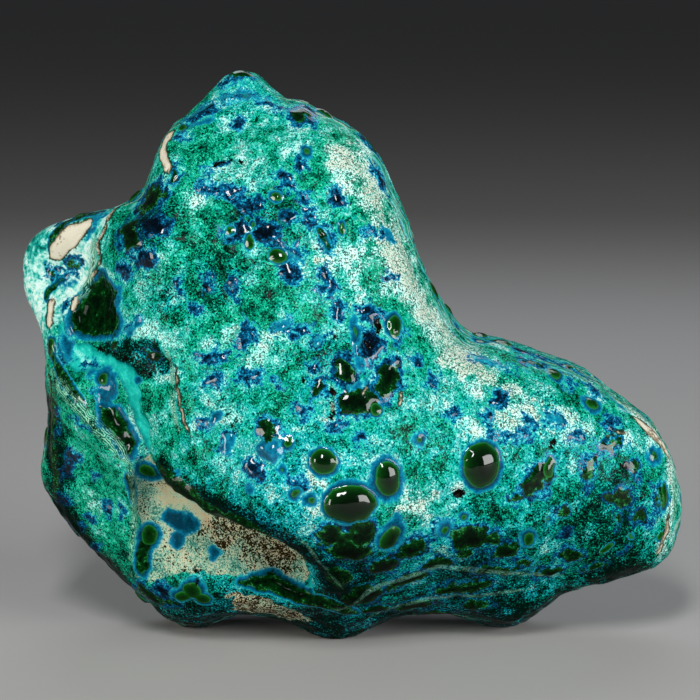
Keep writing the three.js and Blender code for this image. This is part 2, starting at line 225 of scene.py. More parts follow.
# Dark open pits and dark gaps between knobs: x, z, half width, half height, tilt, depth. Their near black is
# partly their own dark fill and partly painted shade in the hollows.
pitsAndShadowGaps = [
    (6, 74.5, 0.8, 1.9, 8, 1.0), (3.5, 70.5, 0.6, 1.1, 30, 0.8), (-3, 72.5, 0.8, 0.6, 0, 0.7),
    (23.5, 38.3, 1.9, 0.8, -42, 1.0), (44, 47.5, 0.9, 0.8, 0, 0.6), (-28.8, 108, 1.3, 0.9, 30, 0.8),
    (-34, 17, 0.4, 3, 20, 0.5), (18, 46.5, 1.5, 0.5, 25, 0.6), (-4, 61.5, 0.6, 1.4, 0, 0.7),
    (-9.5, 63.5, 0.6, 1.2, 0, 0.6), (-3.5, 56, 0.6, 0.9, 0, 0.5), (7, 52.5, 1.1, 0.4, 30, 0.5),
    (-48.5, 65.6, 6.5, 0.3, -7, 0.6), (-55, 66.6, 0.9, 0.6, 0, 0.5), (-31, 82, 0.6, 0.6, 0, 0.4),
    (-26.5, 109, 0.5, 0.5, 0, 0.4), (-23, 108, 0.4, 0.4, 0, 0.4), (60.5, 42, 0.9, 1.2, 0, 0.5),
    (4, 83.5, 0.5, 0.8, 20, 0.4), (-38.5, 84, 0.6, 0.4, 0, 0.3), (36, 41.5, 1.3, 0.3, 15, 0.4),
    (-44.5, 63, 3.6, 0.3, -20, 0.5), (-52.5, 68.8, 2.8, 0.25, 15, 0.4), (-27, 56.5, 1.5, 0.35, -30, 0.4),
    (-24.5, 53.5, 0.35, 1.1, 0, 0.4), (-30, 58, 0.4, 0.8, 0, 0.4), (-20, 57, 1.1, 0.35, 20, 0.4),
    (17, 49, 0.7, 0.4, 10, 0.4), (8, 49.8, 0.5, 0.4, 0, 0.3), (13, 53, 0.4, 0.5, 0, 0.3),
    (-13.5, 65.5, 0.5, 0.8, 20, 0.4), (34, 46.5, 0.6, 0.4, 0, 0.3), (52, 47, 0.5, 0.7, -20, 0.4),
    (38, 33, 0.9, 0.4, -30, 0.4), (31, 36, 0.8, 0.4, 20, 0.4),
]
# Pale veins on the crests of the folds: points along the middle, half width, how proud they stand. The
# streak on the tower's left flank is a painted reflection of a lamp on the left, and the thin vein at x -36
# is partly painted highlight along its crest.
creamVeins = [
    ([(-62, 74.5), (-59.5, 79), (-57.5, 81.5), (-55.5, 84), (-54.5, 86.5), (-55.5, 89.5), (-54, 92),
      (-53, 94.5), (-51, 97), (-47.5, 101)], 0.42, 1.0),
    ([(-60.5, 77.5), (-61.5, 75.5), (-62, 73.5)], 0.7, 0.4),
    # a thin vein on a ridge, partly painted highlight where its crest catches the light
    ([(-38.1, 67.8), (-37.2, 64), (-36.6, 60), (-36.2, 57), (-34.9, 52.5), (-33.4, 50.2)], 0.16, 0.5),
    ([(-66.5, 77), (-67.3, 75), (-67.3, 72), (-67, 69)], 0.7, 0.3),
    # a painted reflection of a lamp on the left, as a cream streak on the tower's left flank
    ([(-37.8, 115), (-40.5, 112), (-41.3, 109.5), (-40, 107), (-39.5, 104.5)], 0.85, 0.3),
    ([(61.5, 52.5), (65.8, 48.3), (69.8, 44), (71.4, 40)], 0.7, 0.3),
    ([(70.8, 31), (70.2, 25), (68, 19)], 0.3, 0.2),
    ([(8.5, 102.5), (12, 96), (13.5, 90.5), (17, 84)], 0.2, 0.2),
    ([(55, 47.8), (58, 49), (61.5, 48.5)], 0.2, 0.1),
    ([(2.5, 60), (3.8, 62.5)], 0.2, 0.2),
    ([(-3.4, 56), (-4, 60)], 0.16, 0.2),
    ([(10.5, 57.5), (11, 61)], 0.16, 0.2),
]
# Fine pale threads side by side along the folds: points along the middle, half width of the bundle.
paleThreads = [
    ([(-66.6, 61), (-63.2, 58), (-59.3, 54.3), (-56.2, 51), (-53.3, 48.5), (-50.5, 45.5), (-48.5, 43)], 1.5),
    ([(-48.5, 43), (-47.5, 39), (-47.6, 33.9), (-48, 26), (-48.8, 15.5)], 0.8),
    ([(-43, 42), (-39.5, 38.8), (-35.5, 36), (-29, 33.5), (-21.5, 31.4), (-16.5, 29.2), (-12, 25.6)], 0.9),
    ([(-15, 33.5), (-9.5, 29.3), (-6.4, 24.6), (-3.6, 20.5), (-1.3, 16.8)], 0.35),
    ([(-39.7, 69), (-38.6, 65), (-37.9, 60), (-37.9, 55.7), (-36.7, 51.6)], 0.6),
    ([(-60.5, 76.5), (-58, 81), (-57.5, 86), (-56.8, 90.5)], 1.2),
    ([(-3.5, 9.5), (4, 15.5), (11, 18), (19, 21), (28, 19.5), (38, 17.5), (49, 15.5)], 0.7),
    ([(3, 6), (12, 10), (20, 12), (30, 12), (40, 13)], 0.5),
    ([(47, 64), (54, 60.5), (60, 56), (66, 50.5), (71.5, 44.5), (73.3, 37), (72.3, 28)], 1.6),
]
# Outlines of the regions that differ from the speckled ground.
pocketOutline = [
    (-47.5, 38), (-46.5, 42.5), (-44, 44.5), (-42, 42.5), (-39.5, 39), (-35, 35.5), (-28.5, 33), (-21, 31),
    (-16, 28.5), (-11.5, 24.5), (-9.5, 20), (-10.5, 15), (-15, 17), (-22, 18), (-28, 18), (-36, 18),
    (-44, 15), (-47.5, 15), (-47, 24), (-46.5, 32),
]
wedgeOutline = [(-27, 13.6), (-20, 13.6), (-12.5, 9.3), (-8.5, 5.5), (-15, 5.5), (-25, 9)]
lobeOutline = [
    (-62, 73), (-58.5, 80), (-55.2, 86.5), (-55.2, 90), (-53.6, 93.5), (-50, 98), (-56, 99), (-70, 96),
    (-80, 88), (-80, 76), (-72, 66),
]
# the cream oval on the side lobe, drawn out to a point
ovalOutline = [
    (-67.5, 85.5), (-67, 88.5), (-65, 90.5), (-63, 92.5), (-60.5, 93), (-58, 94), (-59, 92), (-60.5, 90),
    (-63, 87.5), (-65.5, 85),
]
poolOutline = [
    (-55, 83), (-58.3, 78.6), (-60.6, 75.6), (-62.2, 73), (-61.7, 70), (-57.5, 69.3), (-52, 70.5),
    (-50.4, 73.4), (-52, 76.6), (-51.3, 79.5), (-54, 81.8),
]
stripOutline = [
    (-65.5, 78), (-64.5, 73.5), (-63.5, 70.5), (-61.5, 68), (-59.5, 68), (-56, 66.5), (-53, 65.5),
    (-49.5, 65), (-46.5, 63.5), (-45.5, 60.5), (-45.5, 56), (-44, 51.5), (-42.5, 47.5), (-44.5, 45),
    (-46.5, 49.5), (-48, 53.5), (-49.5, 57), (-50, 60), (-52, 62), (-55.5, 62.5), (-58, 61.5), (-60.5, 61.5),
    (-63.5, 63.5), (-66, 65), (-65.5, 68), (-66.5, 73),
]
# Lines that the ground changes along.
chalkLine = [(-1, 110), (5, 101), (9.5, 92), (13, 82), (18, 74), (26, 66)]
# a painted highlight: the side lobe's strip is drawn paler along this line, where it catches the light
paintedHighlightLine = [(-66, 77), (-64.5, 73), (-63, 68.5), (-60, 65.5), (-58, 64)]
facetEdge = [(-68, 53), (-66.5, 46), (-65, 38), (-66, 31), (-62.5, 25), (-57, 18), (-52, 13)]
tanLine = [(-41, 33.5), (-37, 33), (-32.5, 30.5)]
pocketRim = [(-18, 30.2), (-12.3, 25.8), (-9.6, 20), (-8.8, 15.5)]
rimLine = [(50, 60.5), (56, 57.5), (61, 53.5), (65.8, 49), (70.5, 43.5), (72, 36), (71, 28), (69.5, 20)]
streakLine = [(21, 66), (29.2, 63), (35, 59.7)]
seamOutline = [(-55.5, 66.8), (-49, 70.3), (-42, 70.5), (-38, 66), (-39, 63), (-45, 62), (-51, 64.5)]
browLine = [(-40, 42), (-34, 38.5), (-27, 36), (-18, 33), (-11, 28), (-5, 22), (0, 13)]
umberLine = [(-29, 28), (-24, 26.5), (-15, 21)]
# Soft spots where the ground changes: x, z, radius, amount.
paleSpots = [
    (12, 86, 8, 0.3), (36, 56, 8, 0.5), (-22, 74, 7, 0.4), (-40, 86, 5, 0.4), (14, 37, 5, 0.6),
    (50, 54, 6, 0.4), (9, 35, 3, 0.5), (-34, 99, 4, 0.4), (-6, 88, 5, 0.4), (4, 86, 5, 0.4),
    (-57.5, 32, 4, 0.6), (-56, 22, 6, 0.3),
]
deepSpots = [
    (-45, 95, 7, 1.2), (-28, 84, 7, 0.5), (50, 30, 10, 0.5), (28, 22, 11, 0.8), (-4, 68, 6, 0.5),
    (60, 34, 9, 0.5), (2, 22, 9, 0.9), (-18, 97, 7, 0.5), (60, 18, 10, 0.7), (-40, 80, 5, 0.5),
]
bluerSpots = [
    (-24, 122, 8, 0.4), (-12, 42, 12, 0.4), (52, 32, 9, -0.3), (-5, 90, 12, 0.25), (44, 50, 12, 0.3),
    (60, 42, 9, 0.3),
]
dullSpots = [(-51, 50, 6, 0.7)]


class Surface:
    # the subdivided stone as arrays: places, normals, and where the broad face lies
    def __init__(self, mesh):
        count = len(mesh.vertices)
        self.place = np.empty(count * 3)
        mesh.vertices.foreach_get("co", self.place)
        self.place = self.place.reshape(-1, 3) / millimetre
        self.normal = np.empty(count * 3)
        mesh.vertices.foreach_get("normal", self.normal)
        self.normal = self.normal.reshape(-1, 3)
        self.face = self.place[self.normal[:, 1] < -0.05]

    def onFace(self, x, z):
        # the nearest point of the broad face, seen along +Y
        nearest = np.argmin((self.face[:, 0] - x) ** 2 + (self.face[:, 2] - z) ** 2)
        return np.array([x, self.face[nearest, 1], z])


depthWeight = 0.55  # how much the distance in depth counts, so that a marking doesn't run down a steep side
behindPenalty = 12  # mm added to an outline's distance where the stone faces away
farAway = 8.0  # mm; past this a marking has no effect


def ellipseFields(surface, places, x, z, halfWidth, halfHeight, tilt):
    # signed distance to an ellipse on the broad face, and the radius share, 0 in its middle, 1 on its edge
    offset = places - surface.onFace(x, z)
    turn = math.radians(tilt)
    along = offset[:, 0] * math.cos(turn) + offset[:, 2] * math.sin(turn)
    across = -offset[:, 0] * math.sin(turn) + offset[:, 2] * math.cos(turn)
    deep = offset[:, 1] * depthWeight
    small = min(halfWidth, halfHeight)
    share = np.sqrt((along / halfWidth) ** 2 + (across / halfHeight) ** 2 + (deep / small) ** 2) + 1e-6
    steepness = (along / halfWidth ** 2) ** 2 + (across / halfHeight ** 2) ** 2 + (deep / small ** 2) ** 2
    return (share - 1) * share / (np.sqrt(steepness) + 1e-6), share


def lineFields(surface, places, points):
    # distance to a line of points on the broad face, and the share of its length passed
    anchors = [surface.onFace(x, z) for x, z in points]
    weight = np.array([1, depthWeight, 1])
    best = np.full(len(places), 1e3)
    passed = np.zeros(len(places))
    for count, (start, end) in enumerate(zip(anchors, anchors[1:])):
        step = (end - start) * weight
        offset = (places - start) * weight
        share = np.clip(offset @ step / (step @ step), 0, 1)
        distance = np.linalg.norm(offset - share[:, None] * step, axis=1)
        nearer = distance < best
        best = np.where(nearer, distance, best)
        passed = np.where(nearer, (count + share) / (len(anchors) - 1), passed)
    return best, passed


def outlineDistance(surface, places, points):
    # signed distance to a closed outline on the broad face, under 0 inside
    x, z = places[:, 0], places[:, 2]
    inside = np.zeros(len(x), bool)
    best = np.full(len(x), 1e3)
    for (ax, az), (bx, bz) in zip(points, points[1:] + points[:1]):
        inside ^= ((az > z) != (bz > z)) & (x < (bx - ax) * (z - az) / (bz - az + 1e-9) + ax)
        length = (bx - ax) ** 2 + (bz - az) ** 2
        share = np.clip(((x - ax) * (bx - ax) + (z - az) * (bz - az)) / length, 0, 1)
        best = np.minimum(best, np.hypot(x - ax - share * (bx - ax), z - az - share * (bz - az)))
    return np.where(inside, -best, best) + behindPenalty * np.clip(surface.normal[:, 1], 0, 1)


def smooth(start, end, value):
    # 0 to 1 along an S curve as the value goes from the start to the end
    share = np.clip((value - start) / (end - start), 0, 1)
    return share * share * (3 - 2 * share)


def nearLine(surface, places, points, reach):
    # 1 on a line of points, fading out over the reach
    return np.exp(-(lineFields(surface, places, points)[0] / reach) ** 2)


def softSpots(surface, spots):
    # the amount of every spot on the broad face, fading out over its radius
    total = 0
    for x, z, radius, amount in spots:
        away = (surface.place - surface.onFace(x, z)) / radius
        total = total + amount * np.exp(-np.sum(away ** 2, axis=1))
    return total


def dome(share):
    # height of a round dome, 1 in the middle and 0 from the edge on
    return np.sqrt(np.clip(1 - share ** 2, 0, 1))


def tapered(passed, steepness, least):
    # thickness along a line, 1 in the middle and thin at both ends
    return np.clip(np.minimum(passed, 1 - passed) * steepness + least, 0, 1)


def noiseField(surface, size, seed):
    # one value of smooth noise a vertex, about -1 to 1, with lumps of that size
    shift = Vector((seed * 7.3, seed * 3.1, seed * 5.7))
    return np.array([noise.noise(Vector(p) / size + shift) for p in surface.place])


def wanderedPlaces(surface, size, amount):
    # the places pushed about by noise, so that a marking measured from them gets a ragged edge
    pushes = [noiseField(surface, size, seed) for seed in (20, 21, 22)]
    return surface.place + amount * np.column_stack(pushes)


stoneSetup = {
    "subdivisions": 2,  # rounds that bring the 3.3 mm facets down to about 0.7 mm
    "lumps": [(10, 0.55), (5, 0.42), (2.4, 0.26)],  # size and height of the ground's unevenness
    "ragged": (2.3, 1.5),  # size and reach of the ragged edges
    "gentle": 0.25,  # share of that which the smooth markings take
    "patchHeight": 0.35,  # patches and blots stand that proud of the ground
    "poolDepth": 0.9,  # the green pool between the folds is sunk
    "pocketDepth": 1.3,  # the pocket lies that far under the ground, and its brow stands proud
    "browHeight": 0.9,
    "stripDepth": 0.9,  # the calm strips lie in the troughs of the folds
    "seamHeight": 0.5,  # broken crystals under the pool
    "seamSize": 1.8,
    "ringGroove": 0.1,  # the softer ring round each eye is polished a little lower
    "blotGroove": 0.15,  # and so is the edge of each azurite blot
    "footHeight": 0.25,  # vertices under this aren't moved, so that the three flats stay
    "backEyes": 60,
    "backPatches": 46,
    "backBlots": 90,
    "backTurn": -0.12,  # the back starts where a normal's y is over this
    "backGap": 1.2,
    "backTries": 6000,
    "seed": 11,
}


def smoothCopy(source, setup):
    # the CAD stone's facets, joined up and subdivided
    mesh = source.data.copy()
    mesh.name = "chrysocolla_stone"
    shape = bmesh.new()
    shape.from_mesh(mesh)
    bmesh.ops.remove_doubles(shape, verts=shape.verts, dist=1e-6)
    shape.to_mesh(mesh)
    shape.free()
    stone = bpy.data.objects.new("chrysocolla_stone", mesh)
    bpy.context.scene.collection.objects.link(stone)
    divide = stone.modifiers.new("smooth", "SUBSURF")
    divide.levels = setup["subdivisions"]
    bpy.context.view_layer.objects.active = stone
    stone.select_set(True)
    bpy.ops.object.modifier_apply(modifier="smooth")
    return stone


def scatterBehind(surface, setup):
    # markings for all that isn't the front: kind, place, radius, squeeze axis, share kept
    random = np.random.default_rng(setup["seed"])
    hidden = np.flatnonzero(surface.normal[:, 1] > setup["backTurn"])
    kinds = ["eye"] * setup["backEyes"] + ["patch"] * setup["backPatches"] + ["blot"] * setup["backBlots"]
    growth = {"eye": 1.5, "patch": 2.0, "blot": 1.2}
    gap = setup["backGap"]
    found = []
    for vertex in random.permutation(hidden)[:setup["backTries"]]:
        kind = kinds[len(found)]
        radius = random.uniform(0.9, 1.9) ** growth[kind]
        place = surface.place[vertex]
        squeeze = random.normal(size=3)
        keep = random.uniform(0.45, 0.95)
        if any(np.linalg.norm(place - other) < radius + size + gap for _, other, size, *_ in found):
            continue
        found.append((kind, place, radius, squeeze / np.linalg.norm(squeeze), keep))
        if len(found) == len(kinds):
            break
    return found


class Marks:
    # millimetres to the edge of every kind of marking, under 0 inside, and the height of the relief
    def __init__(self, surface, setup):
        self.surface = surface
        self.setup = setup
        self.random = np.random.default_rng(setup["seed"] + 1)
        self.ragged = wanderedPlaces(surface, *setup["ragged"])
        self.gentle = surface.place + (self.ragged - surface.place) * setup["gentle"]
        self.between = (self.gentle + self.ragged) / 2
        unmarked = np.full(len(surface.place), farAway)
        self.eye = self.moss = self.azure = self.bead = self.pit = self.cream = self.thread = unmarked
        self.halo = np.full(len(surface.place), 3.0)  # 0 at the edge of the malachite, 1 outside its ring
        self.bulges = np.zeros(len(surface.place))
        self.calmed = np.ones(len(surface.place))  # how much of the ground's unevenness is left

    def nearer(self, **distances):
        # keeps the smaller of the distance so far and the new one
        for name, distance in distances.items():
            setattr(self, name, np.minimum(getattr(self, name), distance))

    def addMalachite(self):
        for x, z, *shape, bulge, ringWidth in malachiteEyes:
            distance, share = ellipseFields(self.surface, self.gentle, x, z, *shape)
            leanX, leanZ = self.random.uniform(-0.3, 0.3, 2)  # a ring is never quite centred
            around = ellipseFields(self.surface, self.gentle, x + leanX, z + leanZ, *shape)[0]
            self.nearer(eye=distance, halo=around / ringWidth, calmed=smooth(-0.4, 0.6, distance) + 0.08)
            self.bulges += bulge * dome(share)
        for *oval, fringe in malachitePatches:
            distance, share = ellipseFields(self.surface, self.ragged, *oval)
            self.nearer(moss=distance, azure=distance - 1.6 * fringe)
            self.nearer(calmed=smooth(-0.8, 0.6, distance) * 0.7 + 0.3)
            self.bulges += self.setup["patchHeight"] * dome(share)
        self.pool = outlineDistance(self.surface, self.gentle, poolOutline)
        self.nearer(moss=np.maximum(self.pool, -1.5), halo=self.pool / 1.3)
        self.bulges -= self.setup["poolDepth"] * smooth(0.6, -1.6, self.pool)
        for points, halfWidth, swelling, ringWidth in malachiteBands:
            distance, passed = lineFields(self.surface, self.gentle, points)
            taper = tapered(passed, 5, 0.3)
            edge = distance - halfWidth * taper
            self.nearer(moss=edge)
            if ringWidth:
                self.nearer(halo=edge / ringWidth)
            self.bulges += swelling * dome(distance / halfWidth) * taper

    def addAzurite(self):
        for oval in azureBlots:
            distance, share = ellipseFields(self.surface, self.ragged, *oval)
            self.nearer(azure=distance)
            self.bulges += self.setup["patchHeight"] * dome(share)
        for *oval, tone, bulge in azureFields:
            distance, share = ellipseFields(self.surface, self.between, *oval)
            self.nearer(halo=np.maximum(1 + distance / 1.2, tone))
            if bulge:
                self.nearer(bead=distance, calmed=smooth(-0.4, 0.6, distance) + 0.2)
                self.bulges += bulge * dome(share)

    def addPitsAndVeins(self):
        for *oval, depth in pitsAndShadowGaps:
            distance, share = ellipseFields(self.surface, self.ragged, *oval)
            self.nearer(pit=distance)
            self.bulges -= depth * np.exp(-(share * 0.9) ** 2)
        for points, halfWidth, proud in creamVeins:
            distance, passed = lineFields(self.surface, self.gentle, points)
            taper = tapered(passed, 5, 0.1)
            self.nearer(cream=distance - halfWidth * taper + 0.8 * (1 - taper))
            self.bulges += proud * np.exp(-(distance / (halfWidth + 0.6)) ** 2) * taper
        self.nearer(cream=outlineDistance(self.surface, self.gentle, ovalOutline) - 0.3)
        for points, halfWidth in paleThreads:
            distance, passed = lineFields(self.surface, self.gentle, points)
            self.nearer(thread=distance / (halfWidth * tapered(passed, 4, 0.4)))

    def addBehind(self):
        for kind, place, radius, squeeze, keep in scatterBehind(self.surface, self.setup):
            offset = (self.gentle if kind == "eye" else self.ragged) - place
            offset += np.outer(offset @ squeeze, squeeze) * (1 / keep - 1)
            distance = np.linalg.norm(offset, axis=1) - radius
            if kind == "blot":
                self.nearer(azure=distance)
            elif kind == "patch":
                self.nearer(moss=distance, azure=distance - self.random.uniform(0.2, 1.2))
            else:
                self.nearer(eye=distance, halo=distance / self.random.uniform(0.4, 1.6))
                self.nearer(calmed=smooth(-0.4, 0.6, distance) + 0.08)
                self.bulges += 0.3 * radius * dome((distance + radius) / radius)


def findZones(marks):
    # where the ground changes its look, 0 for not at all and about 1 for fully
    surface = marks.surface
    x, y, z = surface.place.T
    turning = surface.normal[:, 1]
    front = smooth(0.25, -0.1, turning)
    zones = {
        "pocket": smooth(0.8, -0.8, outlineDistance(surface, marks.between, pocketOutline)),
        "wedge": smooth(0.8, -0.8, outlineDistance(surface, marks.ragged, wedgeOutline)),
        "lobe": smooth(0.5, -1.5, outlineDistance(surface, surface.place, lobeOutline)),
        "seam": smooth(0.8, -0.8, outlineDistance(surface, marks.ragged, seamOutline)),
        "brow": nearLine(surface, marks.ragged, browLine, 2.8),
        "facet": smooth(-46, -54, x) * smooth(66, 56, z) * front,
        "tan": nearLine(surface, marks.ragged, tanLine, 1.8),
        "layers": y + 5 * noiseField(surface, 18, 8),
    }
    strip = smooth(0.6, -1.2, outlineDistance(surface, marks.between, stripOutline))
    zones["strip"] = np.maximum(strip, smooth(1.1, 0.2, lineFields(surface, marks.gentle, pocketRim)[0]))

    zones["pale"] = softSpots(surface, paleSpots) - 0.35 * zones["facet"]
    for line, reach, amount in [(chalkLine, 5, 1.1), (rimLine, 1.4, 1.0), (streakLine, 1.6, 0.8)]:
        zones["pale"] += amount * nearLine(surface, marks.ragged, line, reach)

    # darker ground: the spots, the broken seam and the facet edge are the stone's own darker tone; the fall
    # towards the bottom is partly painted shade on the underside, and the brow adds painted shade under the
    # overhang
    zones["deep"] = softSpots(surface, deepSpots) + 0.9 * smooth(24, 4, z) * (1 - zones["pocket"])
    zones["deep"] += zones["brow"] + 0.8 * zones["seam"] + 0.1 * zones["facet"]
    zones["deep"] += 1.1 * nearLine(surface, marks.ragged, facetEdge, 3.2)

    zones["aqua"] = 0.15 + softSpots(surface, bluerSpots) - 0.5 * zones["facet"]
    zones["aqua"] += 0.3 * smooth(84, 46, z) * smooth(-45, -30, x) * smooth(60, 30, x)

    zones["shine"] = 1 - softSpots(surface, dullSpots) - 0.75 * smooth(0.5, -0.5, marks.pool)
    zones["shine"] -= 0.9 * smooth(40, 26, z) + 0.6 * zones["brow"] + zones["pocket"]

    zones["umber"] = smooth(6.5, 1.5, lineFields(surface, marks.ragged, umberLine)[0]) + zones["wedge"]
    turned = smooth(-0.5, -0.2, turning) * smooth(0.3, 0, turning)
    rim = turned * smooth(-0.15, 0.1, noiseField(surface, 16, 4))
    behind = smooth(0.05, 0.3, noiseField(surface, 24, 6)) * (1 - front)
    zones["layered"] = np.clip(0.8 * rim + 0.5 * behind, 0, 1) * (1 - zones["lobe"])
    return zones


def keepAsAttributes(mesh, marks, zones):
    # the material reads the markings and zones by these names
    # the painted highlight along the side lobe's strip, added to the calm strip's value
    paintedHighlight = nearLine(marks.surface, marks.gentle, paintedHighlightLine, 0.9)
    # the rings fade out in the deep zone, where it holds painted shade as well
    fadedHalo = marks.halo + 0.9 * np.clip(zones["deep"], 0, 1) * smooth(0.1, 0.6, marks.halo)
    kept = {
        "halo": np.clip(fadedHalo, -1, 3),
        "thread": np.clip(marks.thread, 0, 3),
        "sand": np.maximum(zones["pocket"], zones["wedge"]),
        "chalk": zones["lobe"],
        "calm": zones["strip"] + 0.4 * paintedHighlight,
        "aqua": np.clip(zones["aqua"], -0.5, 1),
        "shine": np.clip(zones["shine"], 0.04, 1),
    }
    for name in ("pale", "deep", "tan", "umber", "layered", "layers"):
        kept[name] = zones[name]
    for name in ("eye", "moss", "azure", "bead", "pit", "cream"):
        kept[name] = np.clip(getattr(marks, name), -farAway, farAway)
    for name, values in kept.items():
        mesh.attributes.new(name, "FLOAT", "POINT").data.foreach_set("value", values.astype(np.float32))
    return list(kept)


def raiseRelief(mesh, marks, zones, setup):
    # moves the vertices along their normals, up for what stands proud, down for what the polish wore away
    surface = marks.surface
    rise = sum(amount * noiseField(surface, size, size) for size, amount in setup["lumps"])
    for name, share in [("lobe", 0.6), ("pocket", 0.6), ("strip", 0.5)]:
        rise *= 1 - share * zones[name]
    rise *= marks.calmed
    rise += marks.bulges + setup["browHeight"] * zones["brow"] - setup["stripDepth"] * zones["strip"]
    rise += setup["seamHeight"] * zones["seam"] * noiseField(surface, setup["seamSize"], 3)
    rise -= setup["pocketDepth"] * smooth(1.2, -1.2, outlineDistance(surface, marks.gentle, pocketOutline))
    rise -= setup["ringGroove"] * np.exp(-((marks.eye - 0.4) / 0.5) ** 2)
    outside = smooth(-0.5, 0.5, np.minimum(marks.eye, marks.moss))
    rise -= setup["blotGroove"] * np.exp(-((marks.azure - 0.6) / 0.6) ** 2) * outside
    moved = surface.place + surface.normal * rise[:, None]
    moved[:, 2] = np.maximum(moved[:, 2], 0)
    grounded = surface.place[:, 2] < setup["footHeight"]
    moved[grounded] = surface.place[grounded]
    mesh.vertices.foreach_set("co", (moved * millimetre).ravel())
    mesh.shade_smooth()
    mesh.update()


stone = smoothCopy(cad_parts["stone"], stoneSetup)
marks = Marks(Surface(stone.data), stoneSetup)
marks.addMalachite()
marks.addAzurite()
marks.addPitsAndVeins()
marks.addBehind()
zones = findZones(marks)
attributeNames = keepAsAttributes(stone.data, marks, zones)
raiseRelief(stone.data, marks, zones, stoneSetup)
print("stone shaped:", len(stone.data.vertices), "vertices")

stoneFinish = {
    # mm across a speck, finer rounds on top of it, their weight, and a seed
    "noises": {
        "paleGrain": (0.4, 1.0, 0.75, 1.0),  # one grain of chrysocolla; the finest are half that
        "darkGrain": (0.4, 1.0, 0.75, 5.0),
        "fleck": (1.2, 2.0, 0.6, 7.0),  # the flecks that fray the edges of the markings
        "clump": (3.0, 3.0, 0.65, 2.0),  # a clump of grains of one tone
        "drift": (6.5, 3.0, 0.55, 9.0),  # from a pale clump to a dark one
    },
    "swirl": (1.8, 0.9),  # mm across and mm pushed aside, so that the specks don't line up
    "layer": 4.5,  # mm through one set of layers where the rim cuts across them
    "ior": 1.48,  # chrysocolla is 1.46 to 1.57
    "specular": 0.01,  # the grains are porous and mirror next to nothing of themselves
    "roughness": 0.16,
    "coatIor": 1.4,  # malachite is 1.65 and up, softened by the film that the felt leaves
    "polish": 0.05,  # roughness of the mirror polish on the malachite
    "groundShine": 0.02,  # how much of that polish the grainy ground takes
    "relief": 0.06,  # mm that single grains stand out
}


